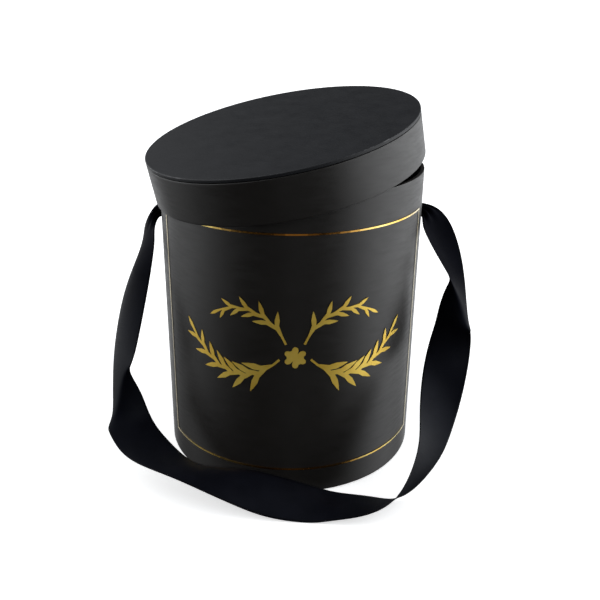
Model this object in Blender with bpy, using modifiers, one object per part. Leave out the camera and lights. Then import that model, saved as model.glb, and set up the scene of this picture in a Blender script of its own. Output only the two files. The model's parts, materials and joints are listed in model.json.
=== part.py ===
"""A round cardboard hat box with a lift-off lid, a ribbon handle and gold foil print.

The box is built the way a rigid hat box is made: board tubes and discs, each
covered with paper that is turned over its edges, a strap of satin ribbon that
passes through two punched holes and is knotted inside, and foil on the front.

Frame: metres, +Z up, the printed front faces -Y, the two ribbon holes lie on
the X axis, and the origin is the centre of the underside.
"""

import math

import bmesh
import bpy
from mathutils import Matrix, Vector

MM = 0.001

# ---------------------------------------------------------------- box body
BODY_RADIUS = 108.0 * MM          # outside of the covering paper
BODY_HEIGHT = 249.0 * MM          # floor to the top of the wrapped rim
PAPER = 0.3 * MM
GAP = 0.3 * MM                    # glue line between touching layers
BODY_BOARD = 2.0 * MM
BASE_BOARD = 2.0 * MM
RIM_TURN_IN = 16.0 * MM           # covering paper folded down inside the rim
BASE_TURN_IN = 12.0 * MM          # covering paper folded under the base
LINING_DROP = 4.0 * MM            # lining starts this far below the rim

# --------------------------------------------------------------------- lid
LID_CLEARANCE = 1.0 * MM          # all round, between body and lid
LID_BOARD = 1.3 * MM
LID_TOP_BOARD = 1.5 * MM
LID_HEIGHT = 36.0 * MM
LID_TURN_IN = 14.0 * MM           # covering paper folded under the lid's disc
LID_TILT = math.radians(12.1)     # the lid sits askew, low on its left
LID_LEAN = math.radians(-155.9)   # compass of the low side, from +X
LID_RIM_CENTRE = Vector((-2.0, -0.85, 243.0)) * MM

# ------------------------------------------------------------------ ribbon
RIBBON_WIDTH = 38.0 * MM
RIBBON_THICKNESS = 0.8 * MM
RIBBON_BUNCHED = 11.0 * MM        # width where it is gathered through a hole
HOLE_RADIUS = 7.0 * MM
HOLE_HEIGHT = 208.4 * MM
KNOT_RADIUS = 10.0 * MM
KNOT_DEPTH = 7.5 * MM

# -------------------------------------------------------------- foil print
FOIL_LINE = 1.3 * MM
FOIL_HALF_ANGLE = math.radians(66.6)
FOIL_TOP = 221.8 * MM
FOIL_BOTTOM = 23.0 * MM
FOIL_THICKNESS = 0.2 * MM
FOIL_FACET = 8.0 * MM             # longest flat stretch of foil round the body
ORNAMENT_HEIGHT = 124.0 * MM
STEM_WIDTH = 1.8 * MM
LEAF_ANGLE = math.radians(42.0)
LEAF_SHAPE = 0.27                 # a leaf's width over its length
LEAF_SECTIONS = (0.22, 0.5, 0.8)
BLOSSOM_RADIUS = 9.0 * MM
BLOSSOM_PETALS = 6
BLOSSOM_POINTS = 48
# Each pair of sprigs: name, the right one's Bezier route in mm from the middle
# of the ornament, the number of leaves, and the longest leaf in mm.
SPRIGS = (
    ("long_sprig", ((12, -2), (36, -27), (64, -22), (88, 10)), 7, 21),
    ("short_sprig", ((7, 11), (16, 34), (40, 46), (62, 32)), 5, 16),
)

SEGMENTS = 60                     # facets round every turned piece
FOLD_STEPS = 1                    # facets round each fold of paper

# ----------------------------------------------------------- derived sizes
LAYER = PAPER + GAP
TUBE_OUTER = BODY_RADIUS - LAYER
TUBE_INNER = TUBE_OUTER - BODY_BOARD
TURN_IN_RADIUS = TUBE_INNER - GAP
LINING_RADIUS = TURN_IN_RADIUS - LAYER
TUBE_BOTTOM = 2.0 * LAYER
BASE_TOP = TUBE_BOTTOM + BASE_BOARD
FLOOR_TOP = BASE_TOP + LAYER

LID_INNER = BODY_RADIUS + LID_CLEARANCE
LID_BOARD_INNER = LID_INNER + LAYER
LID_BOARD_OUTER = LID_BOARD_INNER + LID_BOARD
LID_RADIUS = LID_BOARD_OUTER + LAYER
LID_DISC_THICKNESS = LID_TOP_BOARD + 2.0 * LAYER
SKIRT_TOP = LID_HEIGHT - LID_DISC_THICKNESS - GAP


def clear_scene():
    for thing in list(bpy.data.objects):
        bpy.data.objects.remove(thing, do_unlink=True)
    for name in ("hat_box", "hat_box_cutters"):
        bpy.context.scene.collection.children.link(bpy.data.collections.new(name))


def material(name, colour, roughness, metallic=0.0):
    result = bpy.data.materials.new(name)
    result.use_nodes = True
    shader = result.node_tree.nodes["Principled BSDF"]
    shader.inputs["Base Color"].default_value = (*colour, 1.0)
    shader.inputs["Roughness"].default_value = roughness
    shader.inputs["Metallic"].default_value = metallic
    result.diffuse_color = (*colour, 1.0)
    return result


def add_object(name, mesh, finish, parent=None, collection="hat_box"):
    thing = bpy.data.objects.new(name, mesh)
    bpy.data.collections[collection].objects.link(thing)
    if finish is not None:
        mesh.materials.append(finish)
    thing.parent = parent
    return thing


def add_empty(name, matrix):
    empty = bpy.data.objects.new(name, None)
    empty.empty_display_size = 0.03
    bpy.data.collections["hat_box"].objects.link(empty)
    empty.matrix_world = matrix
    return empty


def turned(name, outline, finish, parent=None):
    """Turn (radius, height) points round Z; the outer side runs downwards."""
    on_axis = outline[0][0] == 0.0
    count = len(outline)
    edges = [(i, i + 1) for i in range(count - 1)]
    if not on_axis:
        edges.append((count - 1, 0))
    mesh = bpy.data.meshes.new(name)
    mesh.from_pydata([(r, 0.0, z) for r, z in outline], edges, [])
    thing = add_object(name, mesh, finish, parent)
    screw = thing.modifiers.new("Turn", "SCREW")
    screw.angle = 2.0 * math.pi
    screw.steps = SEGMENTS
    screw.render_steps = SEGMENTS
    screw.use_merge_vertices = True
    screw.merge_threshold = 0.00001
    screw.use_smooth_shade = True
    return thing


def disc(name, radius, bottom, top, finish, parent=None):
    return turned(name, [(0.0, top), (radius, top), (radius, bottom), (0.0, bottom)], finish, parent)


def tube(name, inner, outer, bottom, top, finish, parent=None):
    outline = [(outer, top), (outer, bottom), (inner, bottom), (inner, top)]
    return turned(name, outline, finish, parent)


def corner(centre_radius, centre_height, radius, start, end):
    """The points of a fold of paper, from angle start to end in degrees."""
    points = []
    for step in range(FOLD_STEPS + 1):
        angle = math.radians(start + (end - start) * step / FOLD_STEPS)
        points.append((centre_radius + radius * math.cos(angle),
                       centre_height + radius * math.sin(angle)))
    return points


def punch(thing, cutter):
    cut = thing.modifiers.new("Ribbon holes", "BOOLEAN")
    cut.operation = "DIFFERENCE"
    cut.solver = "EXACT"
    cut.object = cutter


def ribbon_hole_cutter():
    bpy.ops.mesh.primitive_cylinder_add(
        vertices=24, radius=HOLE_RADIUS, depth=2.4 * BODY_RADIUS,
        location=(0.0, 0.0, HOLE_HEIGHT), rotation=(0.0, math.pi / 2.0, 0.0))
    cutter = bpy.context.object
    cutter.name = "ribbon_hole_cutter"
    for owner in list(cutter.users_collection):
        owner.objects.unlink(cutter)
    bpy.data.collections["hat_box_cutters"].objects.link(cutter)
    cutter.hide_render = True
    cutter.display_type = "WIRE"
    return cutter


def body_cover_outline(bottom, top):
    """Paper folded round the body tube: under its foot, up the outside, over the
    rim and down the inside. bottom and top are the tube's two ends."""
    outline = corner(TUBE_OUTER, top, LAYER, 90, 0)
    outline += [(BODY_RADIUS, bottom - LAYER), (BODY_RADIUS - BASE_TURN_IN, bottom - LAYER),
                (BODY_RADIUS - BASE_TURN_IN, bottom - GAP), (TUBE_OUTER + GAP, bottom - GAP)]
    outline += corner(TUBE_OUTER, top, GAP, 0, 90)
    outline += corner(TUBE_INNER, top, GAP, 90, 180)
    outline += [(TUBE_INNER - GAP, BODY_HEIGHT - RIM_TURN_IN),
                (TUBE_INNER - LAYER, BODY_HEIGHT - RIM_TURN_IN)]
    outline += corner(TUBE_INNER, top, LAYER, 180, 90)
    return outline


def lid_skirt_outline(bottom, top):
    """Paper folded round the skirt board: over its upper edge, down the outside,
    round the lower rim and up the whole inside."""
    outline = [(LID_BOARD_INNER, top + LAYER)]
    outline += corner(LID_BOARD_OUTER, top, LAYER, 90, 0)
    outline += corner(LID_BOARD_OUTER, bottom, LAYER, 0, -90)
    outline += corner(LID_BOARD_INNER, bottom, LAYER, 270, 180)
    outline += [(LID_INNER, top), (LID_INNER + PAPER, top)]
    outline += corner(LID_BOARD_INNER, bottom, GAP, 180, 270)
    outline += corner(LID_BOARD_OUTER, bottom, GAP, -90, 0)
    outline += corner(LID_BOARD_OUTER, top, GAP, 0, 90)
    outline.append((LID_BOARD_INNER, top + GAP))
    return outline


def lid_top_outline(bottom, top, fold_end):
    """Paper over the lid's disc, folded round its edge and back under it."""
    centre = LID_RADIUS - LAYER
    outline = [(0.0, top)]
    outline += corner(centre, top - LAYER, LAYER, 90, 0)
    outline += corner(centre, bottom + LAYER, LAYER, 0, -90)
    outline += [(fold_end, bottom), (fold_end, bottom + PAPER)]
    outline += corner(centre, bottom + LAYER, GAP, -90, 0)
    outline += corner(centre, top - LAYER, GAP, 0, 90)
    outline.append((0.0, top - PAPER))
    return outline


def build_body(finishes):
    board = finishes["board"]
    cover = finishes["cover"]
    lining = finishes["lining"]
    tube_top = BODY_HEIGHT - LAYER

    body_tube = tube("body_tube", TUBE_INNER, TUBE_OUTER, TUBE_BOTTOM, tube_top, board)
    body_cover = turned("body_cover_paper", body_cover_outline(TUBE_BOTTOM, tube_top), cover)
    body_lining = tube("body_lining_paper", LINING_RADIUS - PAPER, LINING_RADIUS,
                       FLOOR_TOP + GAP, BODY_HEIGHT - LINING_DROP, lining)
    disc("base_board", TUBE_INNER - GAP, TUBE_BOTTOM, BASE_TOP, board)
    disc("base_lining_paper", LINING_RADIUS, BASE_TOP + GAP, FLOOR_TOP, lining)
    disc("base_cover_paper", BODY_RADIUS - 1.0 * MM, 0.0, PAPER, cover)

    cutter = ribbon_hole_cutter()
    for thing in (body_tube, body_cover, body_lining):
        punch(thing, cutter)


def build_lid(finishes):
    board = finishes["board"]
    cover = finishes["cover"]
    lining = finishes["lining"]
    lean = Matrix.Rotation(LID_LEAN, 4, "Z")
    tilt = Matrix.Rotation(LID_TILT, 4, "Y")
    seat = add_empty("lid_frame", Matrix.Translation(LID_RIM_CENTRE) @ lean @ tilt @ lean.inverted())

    skirt_bottom = LAYER
    skirt_top = SKIRT_TOP - LAYER
    tube("lid_skirt_board", LID_BOARD_INNER, LID_BOARD_OUTER, skirt_bottom, skirt_top, board, seat)
    turned("lid_skirt_paper", lid_skirt_outline(skirt_bottom, skirt_top), cover, seat)

    disc_bottom = LID_HEIGHT - LID_DISC_THICKNESS
    fold_end = LID_RADIUS - LID_TURN_IN
    disc("lid_top_board", LID_RADIUS - LAYER, disc_bottom + LAYER, LID_HEIGHT - LAYER, board, seat)
    turned("lid_top_paper", lid_top_outline(disc_bottom, LID_HEIGHT, fold_end), cover, seat)
    disc("lid_top_lining_paper", fold_end - GAP, disc_bottom, disc_bottom + PAPER, lining, seat)


def add_foil(name, flat, finish):
    """Bend a flat bmesh, drawn as arc length and height, onto the body's front."""
    reach = max(abs(vert.co.x) for vert in flat.verts)
    cut = -FOIL_FACET * math.floor(reach / FOIL_FACET)
    while cut < reach:
        geometry = flat.verts[:] + flat.edges[:] + flat.faces[:]
        bmesh.ops.bisect_plane(flat, geom=geometry, dist=1e-7,
                               plane_co=(cut, 0.0, 0.0), plane_no=(1.0, 0.0, 0.0))
        cut += FOIL_FACET
    radius = BODY_RADIUS + GAP
    for vert in flat.verts:
        angle = vert.co.x / BODY_RADIUS
        vert.co = (radius * math.sin(angle), -radius * math.cos(angle), vert.co.y)
    mesh = bpy.data.meshes.new(name)
    flat.to_mesh(mesh)
    flat.free()
    foil = add_object(name, mesh, finish)
    film = foil.modifiers.new("Film", "SOLIDIFY")
    film.thickness = FOIL_THICKNESS
    film.offset = 1.0
    return foil


def build_border(finish):
    """A fine rectangular line round the printed front."""
    flat = bmesh.new()
    loops = []
    for inset in (-FOIL_LINE / 2.0, FOIL_LINE / 2.0):
        x = FOIL_HALF_ANGLE * BODY_RADIUS - inset
        bottom = FOIL_BOTTOM + inset
        top = FOIL_TOP - inset
        corners = ((-x, bottom), (x, bottom), (x, top), (-x, top))
        loops.append([flat.verts.new((px, py, 0.0)) for px, py in corners])
    outer, inner = loops
    for i in range(4):
        following = (i + 1) % 4
        flat.faces.new((outer[i], outer[following], inner[following], inner[i]))
    add_foil("foil_border", flat, finish)


def bezier(points, t):
    a, b, c, d = (Vector(point) * MM for point in points)
    u = 1.0 - t
    return a * u ** 3 + b * 3.0 * u * u * t + c * 3.0 * u * t * t + d * t ** 3


def leaf_outline(base, direction, length, half_base, side):
    """A pointed leaf from the rear of its stalk, round the tip, to the front."""
    across = Vector((-direction.y, direction.x)) * side
    rear = []
    front = []
    for along in LEAF_SECTIONS:
        half = 0.5 * LEAF_SHAPE * length * math.sin(math.pi * along ** 0.8)
        half = max(half, half_base)
        rear.append(base + direction * (length * along) + across * half)
        front.append(base + direction * (length * along) - across * half)
    return rear + [base + direction * length] + front[::-1]


def sprig_outline(route, leaf_count, leaf_length, stem_width):
    """The closed outline of a curved stem with leaves on alternate sides."""
    steps = 2 * leaf_count
    outline = []
    for side in (1.0, -1.0):
        order = range(steps) if side > 0.0 else range(steps - 1, -1, -1)
        for index in order:
            t = index / steps
            here = bezier(route, t)
            tangent = (bezier(route, t + 0.01) - bezier(route, t - 0.01)).normalized()
            normal = Vector((-tangent.y, tangent.x)) * side
            half = stem_width * (1.0 - 0.5 * t) / 2.0
            if index > 1 and (index % 2 == 0) == (side > 0.0):
                direction = tangent * math.cos(LEAF_ANGLE) + normal * math.sin(LEAF_ANGLE)
                leaf = leaf_outline(here, direction, leaf_length * (1.0 - 0.4 * t), half, side)
                outline += leaf if side > 0.0 else leaf[::-1]
            else:
                outline.append(here + normal * half)
        if side > 0.0:
            tip = bezier(route, 1.0)
            tangent = (tip - bezier(route, 0.98)).normalized()
            base = tip - tangent * leaf_length * 0.1
            outline += leaf_outline(base, tangent, leaf_length * 0.6, 0.25 * MM, 1.0)
    return outline


def build_sprigs(finish):
    """Two pairs of leafy sprigs, mirrored about the middle of the front."""
    for name, route, leaf_count, leaf_length in SPRIGS:
        for mirror, side in ((-1.0, "left"), (1.0, "right")):
            flat = bmesh.new()
            outline = sprig_outline(route, leaf_count, leaf_length * MM, STEM_WIDTH)
            corners = [flat.verts.new((p.x * mirror, p.y + ORNAMENT_HEIGHT, 0.0)) for p in outline]
            face = flat.faces.new(corners)
            face.normal_update()
            if face.normal.z < 0.0:
                face.normal_flip()
            bmesh.ops.triangulate(flat, faces=[face])
            add_foil("foil_" + name + "_" + side, flat, finish)


def build_blossom(finish):
    """A small blossom with rounded petals where the sprigs spring from."""
    flat = bmesh.new()
    corners = []
    for step in range(BLOSSOM_POINTS):
        angle = 2.0 * math.pi * step / BLOSSOM_POINTS
        petal = abs(math.cos(BLOSSOM_PETALS * angle / 2.0)) ** 0.6
        radius = BLOSSOM_RADIUS * (0.38 + 0.62 * petal)
        corners.append(flat.verts.new((radius * math.sin(-angle),
                                       radius * math.cos(angle) + ORNAMENT_HEIGHT, 0.0)))
    flat.faces.new(corners)
    bmesh.ops.triangulate(flat, faces=flat.faces[:])
    add_foil("foil_blossom", flat, finish)


# The strap's route from the left hole to the right one, in millimetres, with
# the heading and rise of its width in degrees: a heading of 0 points along +X.
RIBBON_STATIONS = [
    # x, y, z, heading, rise
    (-102.3, 0, 208.4, 270, -70),
    (-112, 0, 208.4, 280, -60),
    (-119, -6, 194, 292, 0),
    (-122, -7, 178, 293, 10),
    (-132, -25, 146, 311, 15),
    (-140, -46, 105, 309, 14),
    (-143, -54, 82, 315, 43),
    (-143, -58, 67, 14, 64),
    (-141, -61, 54, 32, 38),
    (-137, -66, 42, 38, 8),
    (-122, -84, 30, 41, 6),
    (-88, -110, 25, 67, -18),
    (-50, -120, 19, 72, 8),
    (-20, -127, 12, 78, 23),
    (12, -129, 5, 82, 12),
    (30, -131, 4, 83, -2),
    (58, -134, 6, 80, -14),
    (83, -137, 15, 72, -38),
    (106, -118, 41, 42, -42),
    (115, -97, 64, 12, -34),
    (133, -49, 108, -38, 10),
    (135, -46, 122, -56, 0),
    (138, -43, 137, -34, -52),
    (138, -40, 149, 30, -54),
    (131, -25, 175, 50, -4),
    (119, -7, 202, 42, 10),
    (112, 0, 208.4, 60, 50),
    (102.3, 0, 208.4, 90, 70),
]
RIBBON_STEPS = 5                  # sections between two stations
EASING_PASSES = 5                 # how often each edge is evened out along its length


def spline(values, position):
    """Catmull-Rom value at a position counted in stations."""
    last = len(values) - 1
    index = min(int(position), last - 1)
    t = position - index
    a = values[max(index - 1, 0)]
    b = values[index]
    c = values[index + 1]
    d = values[min(index + 2, last)]
    return 0.5 * (2.0 * b + (c - a) * t + (2.0 * a - 5.0 * b + 4.0 * c - d) * t * t
                  + (3.0 * b - a - 3.0 * c + d) * t * t * t)


def eased(points):
    """The same line of points with its sharp corners rounded and its ends kept."""
    for _ in range(EASING_PASSES):
        middle = [(points[i - 1] + 2.0 * points[i] + points[i + 1]) / 4.0
                  for i in range(1, len(points) - 1)]
        points = [points[0]] + middle + [points[-1]]
    return points


def ribbon_edges():
    """The strap's two edges, as lists of points, from hole to hole."""
    centres = [Vector(row[:3]) * MM for row in RIBBON_STATIONS]
    across = []
    for row in RIBBON_STATIONS:
        heading = math.radians(row[3])
        rise = math.radians(row[4])
        across.append(Vector((math.cos(rise) * math.cos(heading),
                              math.cos(rise) * math.sin(heading), math.sin(rise))))
    last = len(centres) - 1
    left_edge = []
    right_edge = []
    for step in range(last * RIBBON_STEPS + 1):
        position = step / RIBBON_STEPS
        centre = spline(centres, position)
        direction = spline(across, position).normalized()
        from_hole = min(position, last - position)
        spread = min(max((from_hole - 1.0) / 1.5, 0.0), 1.0)
        spread = spread * spread * (3.0 - 2.0 * spread)
        width = RIBBON_BUNCHED + (RIBBON_WIDTH - RIBBON_BUNCHED) * spread
        left_edge.append(centre + direction * width / 2.0)
        right_edge.append(centre - direction * width / 2.0)
    return eased(left_edge), eased(right_edge)


def build_ribbon(finishes):
    pivot = Vector((0.0, 0.0, HOLE_HEIGHT))
    swing = add_empty("ribbon_pivot", Matrix.Translation(pivot))
    left_edge, right_edge = ribbon_edges()
    points = []
    for a, b in zip(left_edge, right_edge):
        points += [a - pivot, b - pivot]
    faces = [(i, i + 1, i + 3, i + 2) for i in range(0, len(points) - 2, 2)]
    mesh = bpy.data.meshes.new("ribbon_handle")
    mesh.from_pydata(points, [], faces)
    mesh.shade_smooth()
    strap = add_object("ribbon_handle", mesh, finishes["ribbon"], swing)
    thick = strap.modifiers.new("Thickness", "SOLIDIFY")
    thick.thickness = RIBBON_THICKNESS
    thick.offset = 0.0

    strap_end = abs(RIBBON_STATIONS[0][0]) * MM
    for side, name in ((-1.0, "ribbon_knot_left"), (1.0, "ribbon_knot_right")):
        mesh = bpy.data.meshes.new(name)
        shape = bmesh.new()
        bmesh.ops.create_uvsphere(shape, u_segments=16, v_segments=10, radius=1.0)
        shape.to_mesh(mesh)
        shape.free()
        reach = side * (strap_end - GAP - KNOT_DEPTH)
        mesh.transform(Matrix.Translation((reach, 0.0, 0.0))
                       @ Matrix.Diagonal((KNOT_DEPTH, KNOT_RADIUS, KNOT_RADIUS, 1.0)))
        mesh.shade_smooth()
        add_object(name, mesh, finishes["ribbon"], swing)


def main():
    clear_scene()
    finishes = {
        "board": material("grey_board", (0.33, 0.31, 0.28), 0.9),
        "cover": material("black_cover_paper", (0.018, 0.018, 0.020), 0.45),
        "lining": material("black_lining_paper", (0.025, 0.025, 0.027), 0.75),
        "ribbon": material("black_satin", (0.012, 0.012, 0.016), 0.35),
        "foil": material("gold_foil", (0.83, 0.58, 0.16), 0.22, 1.0),
    }
    build_body(finishes)
    build_lid(finishes)
    build_ribbon(finishes)
    build_border(finishes["foil"])
    build_sprigs(finishes["foil"])
    build_blossom(finishes["foil"])


main()
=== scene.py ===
import json
import math

import bmesh
import bpy
from mathutils import Matrix, Vector


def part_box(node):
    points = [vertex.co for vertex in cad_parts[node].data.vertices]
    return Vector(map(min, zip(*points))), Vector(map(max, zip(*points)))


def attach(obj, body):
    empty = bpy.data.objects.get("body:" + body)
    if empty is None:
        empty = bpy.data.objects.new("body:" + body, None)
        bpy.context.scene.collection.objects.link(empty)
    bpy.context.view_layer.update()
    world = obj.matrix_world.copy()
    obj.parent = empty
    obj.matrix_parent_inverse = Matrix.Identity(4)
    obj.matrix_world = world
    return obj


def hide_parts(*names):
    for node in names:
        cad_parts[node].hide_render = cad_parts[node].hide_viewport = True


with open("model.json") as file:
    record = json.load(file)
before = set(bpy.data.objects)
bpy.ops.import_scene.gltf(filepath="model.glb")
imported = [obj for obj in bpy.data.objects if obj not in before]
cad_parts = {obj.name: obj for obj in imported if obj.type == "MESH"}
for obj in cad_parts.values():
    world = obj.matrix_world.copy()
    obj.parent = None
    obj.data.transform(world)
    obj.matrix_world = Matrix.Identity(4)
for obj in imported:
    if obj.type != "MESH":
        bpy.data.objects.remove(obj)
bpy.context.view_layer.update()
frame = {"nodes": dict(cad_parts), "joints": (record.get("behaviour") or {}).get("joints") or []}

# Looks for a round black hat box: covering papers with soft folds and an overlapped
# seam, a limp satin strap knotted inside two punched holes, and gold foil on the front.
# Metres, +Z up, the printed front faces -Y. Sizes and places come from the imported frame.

MM = 0.001
nodes = frame["nodes"]

# ------------------------------------------------------------ sizes from the frame
BODY_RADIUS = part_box("body_cover_paper")[1].x
BODY_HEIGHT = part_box("body_cover_paper")[1].z
FOOT_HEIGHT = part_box("body_cover_paper")[0].z
TUBE_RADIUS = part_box("body_tube")[1].x
TUBE_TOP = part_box("body_tube")[1].z
LINING_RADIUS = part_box("body_lining_paper")[1].x
LINING_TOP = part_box("body_lining_paper")[1].z
FLOOR_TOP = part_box("base_lining_paper")[1].z
HOLE_HEIGHT = Vector(next(j for j in frame["joints"] if j["name"] == "ribbon_swing")["pos_m"]).z

# --------------------------------------------------- thicknesses and small details
PAPER = 0.3 * MM
GAP = 0.3 * MM                    # the glue line, and the clearance between pieces
LAYER = PAPER + GAP
BOARD = 2.0 * MM
SKIRT_BOARD = 1.3 * MM
DISC_BOARD = 1.5 * MM
RIM_TURN_IN = 16.0 * MM
BASE_TURN_IN = 12.0 * MM
LID_TURN_IN = 14.0 * MM
HOLE_RADIUS = 7.0 * MM
FOLD_STEPS = 6
SUPPORT = 1.2 * MM                # distance of a supporting loop from a fold
SEGMENTS = 240
SEAM_ANGLE = math.radians(96.0)   # where the covering papers overlap, at the back
SEAM_WIDTH = 9.0 * MM
SEAM_STEP = 0.22 * MM
FLOOR_SIZE = 60.0

CAMERA_PLACE = (-0.0216, -0.6412, 0.3986)
CAMERA_YAW = math.radians(2.65)
CAMERA_PITCH = math.radians(23.05)
CAMERA_ROLL = math.radians(0.70)
CAMERA_LENS = 47.36               # millimetres, on a sensor 36 mm wide
SENSOR_WIDTH = 36.0


# ======================================================================= materials
def node(tree, kind, inputs=None, **settings):
    """A shader node; an input given as another node's socket is linked."""
    made = tree.nodes.new("ShaderNode" + kind)
    for key, value in settings.items():
        setattr(made, key, value)
    for name, value in (inputs or {}).items():
        if isinstance(value, bpy.types.NodeSocket):
            tree.links.new(value, made.inputs[name])
        else:
            made.inputs[name].default_value = value
    return made


def new_material(name):
    material = bpy.data.materials.new(name)
    material.use_nodes = True
    tree = material.node_tree
    return material, tree, tree.nodes["Principled BSDF"]


def object_coordinates(tree, scale=(1.0, 1.0, 1.0)):
    place = node(tree, "TexCoord").outputs["Object"]
    return node(tree, "Mapping", {"Vector": place, "Scale": scale}).outputs["Vector"]


def noise(tree, vector, scale, detail=3.0, roughness=0.55):
    inputs = {"Vector": vector, "Scale": scale, "Detail": detail, "Roughness": roughness}
    return node(tree, "TexNoise", inputs).outputs["Fac"]


def remap(tree, value, low, high, to_low=0.0, to_high=1.0):
    inputs = {"Value": value, "From Min": low, "From Max": high,
              "To Min": to_low, "To Max": to_high}
    return node(tree, "MapRange", inputs).outputs["Result"]


def multiply(tree, a, b):
    result = node(tree, "Math", operation="MULTIPLY")
    for socket, value in zip(result.inputs, (a, b)):
        if isinstance(value, bpy.types.NodeSocket):
            tree.links.new(value, socket)
        else:
            socket.default_value = value
    return result.outputs["Value"]


def blend_colours(tree, share, first, second):
    mix = node(tree, "Mix", {"Factor": share}, data_type="RGBA")
    for socket, value in ((mix.inputs[6], first), (mix.inputs[7], second)):
        if isinstance(value, bpy.types.NodeSocket):
            tree.links.new(value, socket)
        else:
            socket.default_value = (*value, 1.0)
    return mix.outputs[2]


def bump(tree, height, distance, strength=1.0, under=None):
    inputs = {"Height": height, "Distance": distance, "Strength": strength}
    if under is not None:
        inputs["Normal"] = under
    return node(tree, "Bump", inputs).outputs["Normal"]


def attribute(tree, name):
    return node(tree, "Attribute", attribute_name=name).outputs["Fac"]


def paper(name, dark, light, roughness, wear, specks=False, shine=0.5):
    """Covering paper: mottled black, fibrous, rubbed pale along its folds."""
    material, tree, shader = new_material(name)
    place = object_coordinates(tree)
    mottle = remap(tree, noise(tree, place, 60.0, 5.0), 0.2, 0.8)
    colour = blend_colours(tree, mottle, dark, light)

    rub = remap(tree, noise(tree, place, 130.0, 8.0, 0.75), 0.50, 0.60)
    stretch = remap(tree, noise(tree, place, 14.0, 2.0), 0.42, 0.60)
    edge = multiply(tree, multiply(tree, attribute(tree, "edge"), rub), stretch)
    colour = blend_colours(tree, multiply(tree, edge, wear), colour, (0.17, 0.17, 0.175))
    if specks:
        cells = node(tree, "TexVoronoi", {"Vector": place, "Scale": 42.0}, feature="F1")
        dust = remap(tree, cells.outputs["Distance"], 0.030, 0.018)
        rare = remap(tree, noise(tree, place, 17.0, 1.0), 0.64, 0.66)
        colour = blend_colours(tree, multiply(tree, dust, rare), colour, (0.3, 0.3, 0.32))
    tree.links.new(colour, shader.inputs["Base Color"])

    scuffs = noise(tree, object_coordinates(tree, (1.0, 1.0, 7.0)), 55.0, 6.0, 0.65)
    gloss = remap(tree, scuffs, 0.35, 0.68, roughness - 0.05, roughness + 0.07)
    tree.links.new(gloss, shader.inputs["Roughness"])
    shader.inputs["Specular IOR Level"].default_value = shine
    fibre = bump(tree, noise(tree, place, 1500.0, 4.0, 0.7), 0.04 * MM, 0.5)
    sag = bump(tree, noise(tree, place, 34.0, 2.0), 0.25 * MM, 0.35, fibre)
    tree.links.new(sag, shader.inputs["Normal"])
    return material


def board(name):
    """Raw grey board seen at a punched edge: speckled and matt."""
    material, tree, shader = new_material(name)
    place = object_coordinates(tree)
    flecks = remap(tree, noise(tree, place, 700.0, 5.0, 0.7), 0.35, 0.7)
    colour = blend_colours(tree, flecks, (0.16, 0.145, 0.125), (0.42, 0.39, 0.34))
    tree.links.new(colour, shader.inputs["Base Color"])
    shader.inputs["Roughness"].default_value = 0.92
    pulp = bump(tree, noise(tree, place, 900.0, 5.0), 0.12 * MM, 0.8)
    tree.links.new(pulp, shader.inputs["Normal"])
    return material


def satin(name):
    """Blue-black satin ribbon: fine weft ribs, a woven selvedge and a soft sheen, with painted
    shade: the sheen is turned down higher up the strap, so the upper strands look darker."""
    material, tree, shader = new_material(name)
    across = attribute(tree, "across")
    along = attribute(tree, "along")
    place = object_coordinates(tree)
    thread = node(tree, "CombineXYZ", {"X": across, "Y": along}).outputs["Vector"]
    fine = node(tree, "Mapping", {"Vector": thread, "Scale": (60.0, 2600.0, 1.0)}).outputs["Vector"]
    slub = noise(tree, fine, 1.0, 4.0, 0.6)
    shade = remap(tree, noise(tree, place, 48.0, 3.0), 0.3, 0.7)
    colour = blend_colours(tree, shade, (0.0022, 0.0024, 0.0042), (0.0042, 0.0045, 0.0074))
    selvedge = remap(tree, attribute(tree, "edge"), 0.86, 0.95)
    colour = blend_colours(tree, selvedge, colour, (0.0018, 0.0018, 0.0030))
    tree.links.new(colour, shader.inputs["Base Color"])
    gloss = remap(tree, slub, 0.3, 0.7, 0.38, 0.52)
    tree.links.new(gloss, shader.inputs["Roughness"])
    # Painted shade: the specular level falls from 0.07 to 0.008 between 95 and 160 mm up, so the
    # upper strands look darker.
    height = node(tree, "SeparateXYZ", {"Vector": place}).outputs["Z"]
    sheen = remap(tree, height, 95.0 * MM, 160.0 * MM, 0.07, 0.008)
    tree.links.new(sheen, shader.inputs["Specular IOR Level"])
    shader.inputs["Specular Tint"].default_value = (0.78, 0.85, 1.0, 1.0)
    shader.inputs["Sheen Weight"].default_value = 0.006
    shader.inputs["Sheen Roughness"].default_value = 0.45
    shader.inputs["Sheen Tint"].default_value = (0.75, 0.82, 1.0, 1.0)
    weave = bump(tree, slub, 0.05 * MM, 0.5)
    crease = bump(tree, noise(tree, place, 120.0, 3.0), 0.3 * MM, 0.25, weave)
    tree.links.new(crease, shader.inputs["Normal"])
    return material


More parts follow.
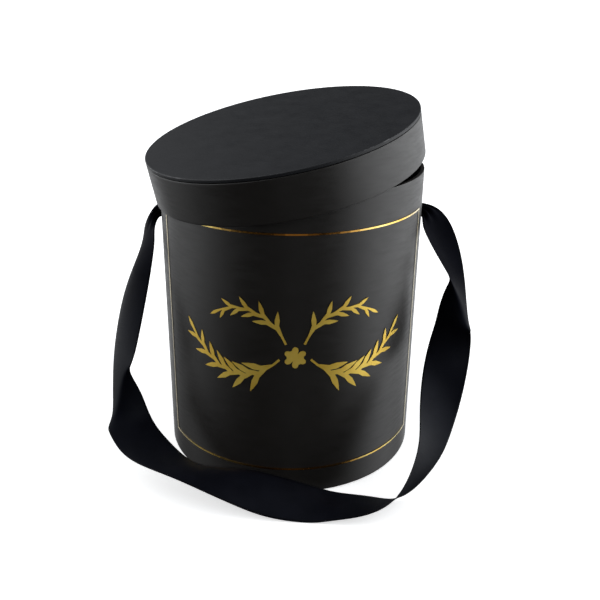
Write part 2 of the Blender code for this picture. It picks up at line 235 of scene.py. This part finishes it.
def foil(name, bright, deep, roughness, metallic, front=None):
    """Hot-stamped gold: warm and cool patches, and a finely broken surface. Given a front
    colour, a line gets painted reflections: a redder painted glint across the front and a
    paler, less metallic painted highlight where it turns away at the sides."""
    material, tree, shader = new_material(name)
    place = object_coordinates(tree)
    patches = remap(tree, noise(tree, place, 38.0, 3.0), 0.35, 0.65)
    colour = blend_colours(tree, patches, bright, deep)
    # Painted reflection: near the middle of the front the colour goes to the redder front colour as
    # a painted glint, and towards the sides to a pale gold as a painted highlight.
    if front is not None:
        sideways = node(tree, "SeparateXYZ", {"Vector": place}).outputs["X"]
        squared = multiply(tree, sideways, sideways)
        painted_front_glint = remap(tree, squared, (62.0 * MM) ** 2, (18.0 * MM) ** 2)
        colour = blend_colours(tree, painted_front_glint, colour, front)
        turned = remap(tree, squared, (84.0 * MM) ** 2, (98.0 * MM) ** 2)
        colour = blend_colours(tree, turned, colour, (1.0, 0.87, 0.58))
    tree.links.new(colour, shader.inputs["Base Color"])
    broken = noise(tree, place, 420.0, 4.0)
    gloss = remap(tree, broken, 0.3, 0.7, roughness - 0.05, roughness + 0.08)
    tree.links.new(gloss, shader.inputs["Roughness"])
    shader.inputs["Metallic"].default_value = metallic
    # Painted highlight: the line is made less metallic towards the sides.
    if front is not None:
        tree.links.new(remap(tree, turned, 0.0, 1.0, metallic, 0.4), shader.inputs["Metallic"])
    grain = bump(tree, noise(tree, place, 1300.0, 3.0), 0.03 * MM, 0.5)
    tree.links.new(grain, shader.inputs["Normal"])
    return material


# ================================================================= geometry helpers
def smoothstep(value):
    value = min(max(value, 0.0), 1.0)
    return value * value * (3.0 - 2.0 * value)


def add_piece(name, mesh, finish, body, stands_for=()):
    piece = bpy.data.objects.new(name, mesh)
    bpy.context.scene.collection.objects.link(piece)
    mesh.materials.append(finish)
    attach(piece, body)
    if stands_for:
        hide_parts(*stands_for)
    return piece


def cover_node(name, finish):
    """Give a CAD node that stays visible its detailed material."""
    materials = nodes[name].data.materials
    materials.clear()
    materials.append(finish)


def point_values(mesh, name, values):
    layer = mesh.attributes.new(name, "FLOAT", "POINT")
    layer.data.foreach_set("value", values)


def fold(centre_radius, centre_height, radius, start, end, edge=0.0):
    """The points of a paper fold as (radius, height, edge), start to end in degrees."""
    points = []
    for step in range(FOLD_STEPS + 1):
        angle = math.radians(start + (end - start) * step / FOLD_STEPS)
        crest = edge * math.sin(math.pi * step / FOLD_STEPS) ** 2
        points.append((centre_radius + radius * math.cos(angle),
                       centre_height + radius * math.sin(angle), crest))
    return points


def wall(radius, start, end, rows):
    """A straight run of points at one radius, closely spaced at its two ends."""
    inset = SUPPORT if end > start else -SUPPORT
    heights = [start, start + inset]
    for row in range(1, rows):
        heights.append(start + (end - start) * row / rows)
    heights += [end - inset, end]
    return [(radius, height, 0.0) for height in heights]


def turn_angles(seam):
    """Angles round a turned piece, with extra ones where the paper overlaps."""
    angles = [2.0 * math.pi * step / SEGMENTS for step in range(SEGMENTS)]
    if seam:
        half = 0.5 * SEAM_WIDTH / BODY_RADIUS
        lip = 0.1 * MM / BODY_RADIUS
        edges = [SEAM_ANGLE + side * half + nudge for side in (-1, 1) for nudge in (-lip, lip)]
        spare = 0.4 * math.pi / SEGMENTS
        angles = [a for a in angles if all(abs(a - e) > spare for e in edges)] + edges
    return sorted(angles)


def seam_lift(angle):
    """How far the paper stands out at an angle, because of the overlap under it."""
    half = 0.5 * SEAM_WIDTH / BODY_RADIUS
    return SEAM_STEP if abs(angle - SEAM_ANGLE) < half else 0.0


def out_of_round(angle, height):
    """The slight unevenness of a hand-covered tube."""
    slow = 0.10 * math.sin(2.0 * angle + 0.6) + 0.05 * math.sin(5.0 * angle + 9.0 * height)
    return slow * MM


def turned_mesh(name, outline, uneven=None, seam=False, place=None):
    """Turn a closed (radius, height, edge) outline round Z into one smooth mesh."""
    angles = turn_angles(seam)
    rows = len(outline)
    points = []
    edges = []
    for angle in angles:
        lift = seam_lift(angle) if seam else 0.0
        for radius, height, edge in outline:
            shift = uneven(angle, height) if uneven else 0.0
            reach = radius + (lift + shift) * smoothstep(radius / (0.8 * BODY_RADIUS))
            points.append(Vector((reach * math.cos(angle), reach * math.sin(angle), height)))
            edges.append(edge)
    faces = []
    for turn in range(len(angles)):
        here = turn * rows
        there = (turn + 1) % len(angles) * rows
        for row in range(rows):
            below = (row + 1) % rows
            faces.append((here + row, here + below, there + below, there + row))
    mesh = bpy.data.meshes.new(name)
    mesh.from_pydata(points, [], faces)
    point_values(mesh, "edge", edges)
    shape = bmesh.new()
    shape.from_mesh(mesh)
    bmesh.ops.remove_doubles(shape, verts=shape.verts, dist=0.001 * MM)
    bmesh.ops.recalc_face_normals(shape, faces=shape.faces)
    shape.to_mesh(mesh)
    shape.free()
    mesh.shade_smooth()
    if place is not None:
        mesh.transform(place)
    return mesh


def lid_placement():
    """The lid's frame: its axis is the disc's normal and its origin the rim's centre."""
    disc = nodes["lid_top_board"].data
    axis = max(disc.polygons, key=lambda face: face.area).normal.copy()
    if axis.z < 0.0:
        axis.negate()
    points = [v.co for v in nodes["lid_skirt_paper"].data.vertices]
    top = max(v.co.dot(axis) for v in nodes["lid_top_paper"].data.vertices)
    rim = min(p.dot(axis) for p in points)
    low, high = (Vector(corner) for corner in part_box("lid_skirt_paper"))
    middle = (low + high) / 2.0
    centre = middle + axis * (rim - middle.dot(axis))
    radius = max((p - centre - axis * (p - centre).dot(axis)).length for p in points)
    tilt = Vector((0.0, 0.0, 1.0)).rotation_difference(axis).to_matrix().to_4x4()
    return Matrix.Translation(centre) @ tilt, top - rim, radius


# ========================================================================= box body
def body_cover_outline():
    """Under the foot, up the outside, over the rim and down the inside."""
    outer = TUBE_RADIUS
    inner = TUBE_RADIUS - BOARD
    foot = FOOT_HEIGHT + LAYER
    under = BODY_RADIUS - BASE_TURN_IN
    turn_in_end = BODY_HEIGHT - RIM_TURN_IN
    outline = fold(outer, TUBE_TOP, LAYER, 90, 0, 1.0)
    outline += wall(outer + LAYER, TUBE_TOP, foot, 40)
    outline += fold(outer, foot, LAYER, 0, -90, 0.8)
    outline += [(under, foot - LAYER, 0.0), (under, foot - GAP, 0.0)]
    outline += fold(outer, foot, GAP, -90, 0)
    outline += wall(outer + GAP, foot, TUBE_TOP, 40)
    outline += fold(outer, TUBE_TOP, GAP, 0, 90)
    outline += fold(inner, TUBE_TOP, GAP, 90, 180)
    outline += [(inner - GAP, turn_in_end, 0.0), (inner - LAYER, turn_in_end, 0.6)]
    outline += [(inner - LAYER, turn_in_end + SUPPORT, 0.0),
                (inner - LAYER, TUBE_TOP - SUPPORT, 0.0)]
    outline += fold(inner, TUBE_TOP, LAYER, 180, 90, 1.0)
    return outline


def hole_cutter():
    mesh = bpy.data.meshes.new("hole_cutter")
    shape = bmesh.new()
    bmesh.ops.create_cone(shape, cap_ends=True, segments=48, radius1=HOLE_RADIUS,
                          radius2=HOLE_RADIUS, depth=2.4 * BODY_RADIUS)
    shape.to_mesh(mesh)
    shape.free()
    height = Matrix.Translation((0.0, 0.0, HOLE_HEIGHT))
    mesh.transform(height @ Matrix.Rotation(math.pi / 2.0, 4, "Y"))
    cutter = bpy.data.objects.new("hole_cutter", mesh)
    bpy.context.scene.collection.objects.link(cutter)
    return cutter


def punch(piece, cutter):
    """Cut the ribbon holes and keep the result as the piece's own mesh."""
    cut = piece.modifiers.new("Ribbon holes", "BOOLEAN")
    cut.operation = "DIFFERENCE"
    cut.solver = "EXACT"
    cut.object = cutter
    graph = bpy.context.evaluated_depsgraph_get()
    punched = bpy.data.meshes.new_from_object(piece.evaluated_get(graph))
    piece.modifiers.clear()
    piece.data = punched
    punched.shade_smooth()
    punched.set_sharp_from_angle(angle=math.radians(50.0))


def build_body(finishes):
    cutter = hole_cutter()
    mesh = turned_mesh("body_cover", body_cover_outline(), out_of_round, seam=True)
    cover = add_piece("body_cover", mesh, finishes["cover"], "box",
                      ("body_cover_paper",))
    outline = wall(LINING_RADIUS, LINING_TOP, FLOOR_TOP + GAP, 24)
    outline[0] = (LINING_RADIUS, LINING_TOP, 1.0)
    inside = wall(LINING_RADIUS - PAPER, FLOOR_TOP + GAP, LINING_TOP, 24)
    inside[-1] = (LINING_RADIUS - PAPER, LINING_TOP, 1.0)
    mesh = turned_mesh("body_lining", outline + inside)
    lining = add_piece("body_lining", mesh, finishes["lining"], "box",
                       ("body_lining_paper",))
    punch(cover, cutter)
    punch(lining, cutter)
    bpy.data.objects.remove(cutter)
    cover_node("body_tube", finishes["board"])
    cover_node("base_board", finishes["board"])
    cover_node("base_lining_paper", finishes["lining"])
    cover_node("base_cover_paper", finishes["cover"])


# ============================================================================== lid
def lid_skirt_outline(radius, top):
    board_outer = radius - LAYER
    board_inner = board_outer - SKIRT_BOARD
    inner = board_inner - LAYER
    bottom = LAYER
    upper = top - LAYER
    outline = [(board_inner, upper + LAYER, 0.0)]
    outline += fold(board_outer, upper, LAYER, 90, 0, 1.0)
    outline += wall(board_outer + LAYER, upper, bottom, 8)
    outline += fold(board_outer, bottom, LAYER, 0, -90, 1.0)
    outline += fold(board_inner, bottom, LAYER, 270, 180, 1.0)
    outline += wall(inner, bottom, upper, 4)
    outline += wall(inner + PAPER, upper, bottom, 4)
    outline += fold(board_inner, bottom, GAP, 180, 270)
    outline += fold(board_outer, bottom, GAP, -90, 0)
    outline += wall(board_outer + GAP, bottom, upper, 8)
    outline += fold(board_outer, upper, GAP, 0, 90)
    outline.append((board_inner, upper + GAP, 0.0))
    return outline


def lid_top_outline(radius, bottom, top):
    centre = radius - LAYER
    fold_end = radius - LID_TURN_IN
    rings = [0.0, 0.15, 0.3, 0.45, 0.6, 0.75, 0.88, 0.96]
    outline = [(share * centre, top, 0.0) for share in rings]
    outline.append((centre - SUPPORT, top, 0.0))
    outline += fold(centre, top - LAYER, LAYER, 90, 0, 1.0)
    outline += fold(centre, bottom + LAYER, LAYER, 0, -90, 1.0)
    outline += [(centre - SUPPORT, bottom, 0.0), (fold_end, bottom, 0.0),
                (fold_end, bottom + PAPER, 0.0)]
    outline += fold(centre, bottom + LAYER, GAP, -90, 0)
    outline += fold(centre, top - LAYER, GAP, 0, 90)
    outline += [(share * centre, top - PAPER, 0.0) for share in reversed(rings)]
    return outline


def build_lid(finishes):
    place, height, radius = lid_placement()
    disc = DISC_BOARD + 2.0 * LAYER
    skirt_top = height - disc - GAP
    outline = lid_skirt_outline(radius, skirt_top)
    mesh = turned_mesh("lid_skirt", outline, out_of_round, True, place)
    add_piece("lid_skirt", mesh, finishes["cover"], "lid",
              ("lid_skirt_paper",))
    outline = lid_top_outline(radius, height - disc, height)
    mesh = turned_mesh("lid_top", outline, out_of_round, False, place)
    add_piece("lid_top", mesh, finishes["lid"], "lid", ("lid_top_paper",))
    cover_node("lid_skirt_board", finishes["board"])
    cover_node("lid_top_board", finishes["board"])
    cover_node("lid_top_lining_paper", finishes["lining"])


# =========================================================================== ribbon
RIBBON_WIDTH = 38.0 * MM
RIBBON_BUNCHED = 11.0 * MM
RIBBON_THICKNESS = 0.35 * MM
RIBBON_STEPS = 14                 # rows between two stations
EASING_PASSES = 39                # how often each edge is evened out along its length
RIBBON_COLUMNS = 24
PLEATS = 3
PLEAT_DEPTH = 2.6 * MM
KNOT_RADIUS = 10.0 * MM
KNOT_DEPTH = 7.5 * MM
KNOT_BAND = 3.1 * MM              # half the thickness of the gathered band
KNOT_TURNS = 120
KNOT_SIDES = 40
TAIL_LENGTH = 28.0 * MM
TAIL_GATHERED = 9.0 * MM
TAIL_WIDTH = 27.0 * MM
TAIL_ROWS = 24

# The strap's route from the left hole to the right one, in millimetres, the heading
# and rise of its width in degrees, and how far its middle bows off the flat, in mm.
RIBBON_STATIONS = [
    # x, y, z, heading, rise, bow
    (-102.3, 0, 208.4, 270, -70, 0),
    (-112, 0, 208.4, 280, -60, 0),
    (-119, -6, 194, 292, 0, 1),
    (-122, -7, 178, 293, 10, 3),
    (-132, -25, 146, 311, 15, 4),
    (-140, -46, 105, 309, 14, 3),
    (-143, -54, 82, 315, 43, 1),
    (-143, -58, 67, 14, 64, 0),
    (-141, -61, 54, 32, 38, 0),
    (-137, -66, 42, 38, 8, 1),
    (-122, -84, 30, 41, 6, 1),
    (-88, -110, 25, 67, -18, 2),
    (-50, -120, 19, 72, 8, 2),
    (-20, -127, 12, 78, 23, 2),
    (12, -129, 5, 82, 12, 2),
    (30, -131, 4, 83, -2, 1),
    (58, -134, 6, 80, -14, 0),
    (83, -137, 15, 72, -38, 0),
    (106, -118, 41, 42, -42, 1),
    (115, -97, 64, 12, -34, 1),
    (133, -49, 108, -38, 10, 1),
    (135, -46, 122, -56, 0, 1),
    (138, -43, 137, -34, -52, 0),
    (138, -40, 149, 30, -54, 1),
    (131, -25, 175, 50, -4, 5),
    (119, -7, 202, 42, 10, 3),
    (112, 0, 208.4, 60, 50, 0),
    (102.3, 0, 208.4, 90, 70, 0),
]


def spline(values, position):
    """Catmull-Rom value at a position counted in stations."""
    last = len(values) - 1
    index = min(int(position), last - 1)
    t = position - index
    a = values[max(index - 1, 0)]
    b = values[index]
    c = values[index + 1]
    d = values[min(index + 2, last)]
    return 0.5 * (2.0 * b + (c - a) * t + (2.0 * a - 5.0 * b + 4.0 * c - d) * t * t
                  + (3.0 * b - a - 3.0 * c + d) * t * t * t)


def eased(points):
    """The same line of points with its sharp corners rounded and its ends kept."""
    for _ in range(EASING_PASSES):
        inner = [(points[i - 1] + 2.0 * points[i] + points[i + 1]) / 4.0
                 for i in range(1, len(points) - 1)]
        points = [points[0]] + inner + [points[-1]]
    return points


def ribbon_rows():
    """Each row across the strap: its middle, half of its width as a vector, its
    normal, how far it is gathered (0 to 1) and its bow."""
    centres = [Vector(row[:3]) * MM for row in RIBBON_STATIONS]
    bows = [row[5] * MM for row in RIBBON_STATIONS]
    across = []
    for row in RIBBON_STATIONS:
        heading = math.radians(row[3])
        rise = math.radians(row[4])
        across.append(Vector((math.cos(rise) * math.cos(heading),
                              math.cos(rise) * math.sin(heading), math.sin(rise))))
    last = len(centres) - 1
    left_edge = []
    right_edge = []
    gathers = []
    for step in range(last * RIBBON_STEPS + 1):
        position = step / RIBBON_STEPS
        gathered = 1.0 - smoothstep((min(position, last - position) - 1.0) / 1.5)
        width = RIBBON_WIDTH + (RIBBON_BUNCHED - RIBBON_WIDTH) * gathered
        reach = spline(across, position).normalized() * (width / 2.0)
        left_edge.append(spline(centres, position) + reach)
        right_edge.append(spline(centres, position) - reach)
        gathers.append(gathered)
    left_edge = eased(left_edge)
    right_edge = eased(right_edge)
    middles = [(a + b) / 2.0 for a, b in zip(left_edge, right_edge)]
    rows = []
    for step, middle in enumerate(middles):
        half_width = (left_edge[step] - right_edge[step]) / 2.0
        run = middles[min(step + 1, len(middles) - 1)] - middles[max(step - 1, 0)]
        normal = run.cross(half_width).normalized()
        rows.append((middle, half_width, normal, gathers[step], spline(bows, step / RIBBON_STEPS)))
    return rows


def into_knots(rows):
    """Carry both ends of the strap on into its knots."""
    first = rows[0]
    final = rows[-1]
    reach = Vector((KNOT_DEPTH, 0.0, 0.0))
    return [(first[0] + reach, *first[1:])] + rows + [(final[0] - reach, *final[1:])]


def satin_mesh(name, samples, faces):
    """A mesh from (point, across, along, edge) samples; the last three guide the weave."""
    mesh = bpy.data.meshes.new(name)
    mesh.from_pydata([sample[0] for sample in samples], [], faces)
    for index, label in ((1, "across"), (2, "along"), (3, "edge")):
        point_values(mesh, label, [sample[index] for sample in samples])
    mesh.shade_smooth()
    return mesh


def cloth_faces(count):
    """The faces of a cloth with so many points, laid out row after row."""
    columns = RIBBON_COLUMNS + 1
    faces = []
    for row in range(count // columns - 1):
        for column in range(RIBBON_COLUMNS):
            corner = row * columns + column
            faces.append((corner, corner + 1, corner + columns + 1, corner + columns))
    return faces


def give_thickness(piece):
    cloth = piece.modifiers.new("Cloth thickness", "SOLIDIFY")
    cloth.thickness = RIBBON_THICKNESS
    cloth.offset = 0.0


def ribbon_mesh():
    """The strap as an open sheet, pleated where it is drawn through a hole, and how
    long it is."""
    samples = []
    travelled = 0.0
    previous = None
    for middle, half_width, normal, gathered, bow in into_knots(ribbon_rows()):
        if previous is not None:
            travelled += (middle - previous).length
        previous = middle
        for column in range(RIBBON_COLUMNS + 1):
            share = 2.0 * column / RIBBON_COLUMNS - 1.0
            pleat = math.sin(math.pi * PLEATS * share) * PLEAT_DEPTH * gathered ** 2
            offset = pleat + bow * (0.66 - share * share) * (1.0 - gathered)
            point = middle + half_width * share + normal * offset
            samples.append((point, share * RIBBON_WIDTH / 2.0, travelled, abs(share)))
    return satin_mesh("ribbon_strap", samples, cloth_faces(len(samples))), travelled


def knot_route(t):
    """A point on the knot's threefold loop, about the knot's centre."""
    flat = (KNOT_RADIUS - 1.3 * KNOT_BAND) / 3.0
    return Vector(((KNOT_BAND - KNOT_DEPTH) * math.sin(3.0 * t),
                   flat * (math.sin(t) + 2.0 * math.sin(2.0 * t)),
                   flat * (math.cos(t) - 2.0 * math.cos(2.0 * t))))


def knot_mesh(name, centre):
    """A tight overhand knot: one gathered band that follows the knot's loop."""
    samples = []
    for turn in range(KNOT_TURNS):
        t = 2.0 * math.pi * turn / KNOT_TURNS
        ahead = knot_route(t + 0.01) - knot_route(t - 0.01)
        side = ahead.cross(knot_route(t)).normalized()
        out = side.cross(ahead).normalized()
        for step in range(KNOT_SIDES):
            angle = 2.0 * math.pi * step / KNOT_SIDES
            pleat = 1.0 + 0.09 * math.cos(7.0 * angle + 3.0 * t) + 0.04 * math.cos(13.0 * angle)
            reach = KNOT_BAND * pleat
            point = (centre + knot_route(t) + side * (1.25 * reach * math.cos(angle))
                     + out * (0.9 * reach * math.sin(angle)))
            samples.append((point, KNOT_BAND * angle, t * KNOT_RADIUS, 0.0))
    faces = []
    for turn in range(KNOT_TURNS):
        here = turn * KNOT_SIDES
        there = (turn + 1) % KNOT_TURNS * KNOT_SIDES
        for step in range(KNOT_SIDES):
            following = (step + 1) % KNOT_SIDES
            faces.append((here + step, here + following, there + following, there + step))
    return satin_mesh(name, samples, faces)


def tail_mesh(name, centre, side):
    """The loose end below a knot, spreading from its gathers to a slanted cut."""
    samples = []
    for row in range(TAIL_ROWS + 1):
        share = row / TAIL_ROWS
        spread = smoothstep(1.3 * share)
        half = 0.5 * (TAIL_GATHERED + (TAIL_WIDTH - TAIL_GATHERED) * spread)
        for column in range(RIBBON_COLUMNS + 1):
            place = 2.0 * column / RIBBON_COLUMNS - 1.0
            length = TAIL_LENGTH * (1.0 + 0.16 * place * side)
            pleat = 1.6 * MM * math.sin(3.0 * math.pi * place) * (1.0 - spread)
            wave = 1.8 * MM * math.sin(4.2 * share + 1.6 * place) * share
            inward = side * (2.0 * MM * share + pleat + wave + 1.0 * MM)
            point = centre + Vector((-inward, half * place + 3.0 * MM * share * share,
                                     -0.6 * KNOT_RADIUS - length * share))
            samples.append((point, place * TAIL_WIDTH / 2.0, length * share, abs(place)))
    return satin_mesh(name, samples, cloth_faces(len(samples)))


def build_ribbon(finishes):
    satin_finish = finishes["ribbon"]
    mesh, length = ribbon_mesh()
    strap = add_piece("ribbon_strap", mesh, satin_finish, "ribbon",
                      ("ribbon_handle",))
    give_thickness(strap)
    ends = []
    for side, hand in ((-1.0, "left"), (1.0, "right")):
        solid = "ribbon_knot_" + hand
        low, high = (Vector(corner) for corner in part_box(solid))
        centre = (low + high) / 2.0
        mesh = knot_mesh("ribbon_bow_" + hand, centre)
        knot = add_piece("ribbon_bow_" + hand, mesh, satin_finish, "ribbon",
                         (solid,))
        mesh = tail_mesh("ribbon_tail_" + hand, centre, side)
        tail = add_piece("ribbon_tail_" + hand, mesh, satin_finish, "ribbon")
        give_thickness(tail)
        ends += [knot, tail]


# ============================================================================= foil
def build_foil(finishes):
    cover_node("foil_border", finishes["foil"])
    cover_node("foil_blossom", finishes["print"])
    for sprig in ("long_sprig", "short_sprig"):
        for hand in ("left", "right"):
            cover_node("foil_" + sprig + "_" + hand, finishes["print"])


# ============================================================================ stage
def build_floor():
    mesh = bpy.data.meshes.new("floor")
    half = FLOOR_SIZE / 2.0
    corners = [(-half, -half, 0.0), (half, -half, 0.0), (half, half, 0.0), (-half, half, 0.0)]
    mesh.from_pydata(corners, [], [(0, 1, 2, 3)])
    floor = bpy.data.objects.new("floor", mesh)
    bpy.context.scene.collection.objects.link(floor)
    material, tree, shader = new_material("floor_paper")
    tint = remap(tree, noise(tree, object_coordinates(tree), 3.0), 0.3, 0.7)
    tree.links.new(blend_colours(tree, tint, (0.90, 0.90, 0.90), (0.93, 0.93, 0.93)),
                   shader.inputs["Base Color"])
    shader.inputs["Roughness"].default_value = 0.8
    shader.inputs["Specular IOR Level"].default_value = 0.1
    shader.inputs["Emission Color"].default_value = (1.0, 1.0, 1.0, 1.0)
    shader.inputs["Emission Strength"].default_value = 0.6
    mesh.materials.append(material)
    floor.visible_glossy = False
    floor.visible_diffuse = False
    floor.visible_shadow = False


def build_studio():
    """A white sweep for the camera, and light from both sides, from above, from behind
    the box's two outer edges and from a small patch in front."""
    world = bpy.data.worlds.new("studio")
    bpy.context.scene.world = world
    world.use_nodes = True
    tree = world.node_tree
    tree.nodes.clear()
    way = node(tree, "TexCoord").outputs["Generated"]

    def lobe(direction, start, full, strength):
        """Light from round a direction, fading in between two cosines."""
        dot = node(tree, "VectorMath", operation="DOT_PRODUCT")
        tree.links.new(way, dot.inputs[0])
        dot.inputs[1].default_value = Vector(direction).normalized()
        inputs = {"Value": dot.outputs["Value"], "From Min": start, "From Max": full,
                  "To Min": 0.0, "To Max": strength}
        return node(tree, "MapRange", inputs, interpolation_type="SMOOTHSTEP").outputs["Result"]

    def add(a, b):
        total = node(tree, "Math", operation="ADD")
        tree.links.new(a, total.inputs[0])
        tree.links.new(b, total.inputs[1])
        return total.outputs["Value"]

    sides = add(lobe((1.0, 0.0, 0.25), 0.45, 0.97, 2.4),
                lobe((-1.0, 0.15, 0.5), 0.4, 0.97, 1.7))
    rims = add(lobe((0.50, 0.82, -0.30), 0.93, 0.99, 1.1),
               lobe((-0.42, 0.86, -0.30), 0.93, 0.99, 0.9))
    above = add(lobe((0.0, 0.0, 1.0), 0.45, 0.9, 0.30),
                lobe((0.0, 1.0, 0.1), 0.3, 1.0, 0.02))
    front = lobe((0.04, -0.95, -0.315), 0.96, 0.995, 0.22)
    level = node(tree, "Math", operation="ADD")
    tree.links.new(add(add(sides, above), add(rims, front)), level.inputs[0])
    level.inputs[1].default_value = 0.02
    seen = node(tree, "LightPath").outputs["Is Camera Ray"]
    strength = level.outputs["Value"]
    light = node(tree, "Background", {"Color": (0.96, 0.98, 1.0, 1.0), "Strength": strength})
    sweep = node(tree, "Background", {"Color": (1.0, 1.0, 1.0, 1.0), "Strength": 1.0})
    mix = node(tree, "MixShader", {"Fac": seen})
    tree.links.new(light.outputs["Background"], mix.inputs[1])
    tree.links.new(sweep.outputs["Background"], mix.inputs[2])
    output = node(tree, "OutputWorld")
    tree.links.new(mix.outputs["Shader"], output.inputs["Surface"])
    bpy.context.scene.view_settings.view_transform = "Standard"


def build_camera():
    data = bpy.data.cameras.new("camera")
    camera = bpy.data.objects.new("camera", data)
    bpy.context.scene.collection.objects.link(camera)
    data.lens = CAMERA_LENS
    data.sensor_width = SENSOR_WIDTH
    turn = (Matrix.Rotation(-CAMERA_YAW, 4, "Z")
            @ Matrix.Rotation(math.pi / 2.0 - CAMERA_PITCH, 4, "X")
            @ Matrix.Rotation(CAMERA_ROLL, 4, "Z"))
    camera.matrix_world = Matrix.Translation(CAMERA_PLACE) @ turn
    data.clip_start = 0.01
    data.clip_end = 100.0
    bpy.context.scene.camera = camera


def make_finishes():
    return {
        "cover": paper("black_cover_paper_worn", (0.0084, 0.0071, 0.0060), (0.0130, 0.0113, 0.0100),
                       0.40, 0.6),
        "lid": paper("black_lid_paper", (0.0070, 0.0076, 0.0096), (0.0110, 0.0118, 0.0142),
                     0.46, 0.9, specks=True, shine=0.28),
        "lining": paper("black_lining_paper_matt", (0.012, 0.012, 0.012), (0.018, 0.018, 0.018),
                        0.7, 0.5),
        "board": board("grey_board_cut"),
        "ribbon": satin("black_satin_ribbon"),
        # The border line's last colour is the redder painted glint on its front.
        "foil": foil("gold_foil_line", (0.95, 0.76, 0.27), (0.82, 0.50, 0.10), 0.20, 1.0,
                     (0.62, 0.24, 0.035)),
        "print": foil("gold_foil_print", (0.92, 0.66, 0.12), (0.80, 0.52, 0.07), 0.40, 0.55),
    }


def main():
    finishes = make_finishes()
    build_body(finishes)
    build_lid(finishes)
    build_ribbon(finishes)
    build_foil(finishes)
    build_floor()
    build_studio()
    build_camera()


main()
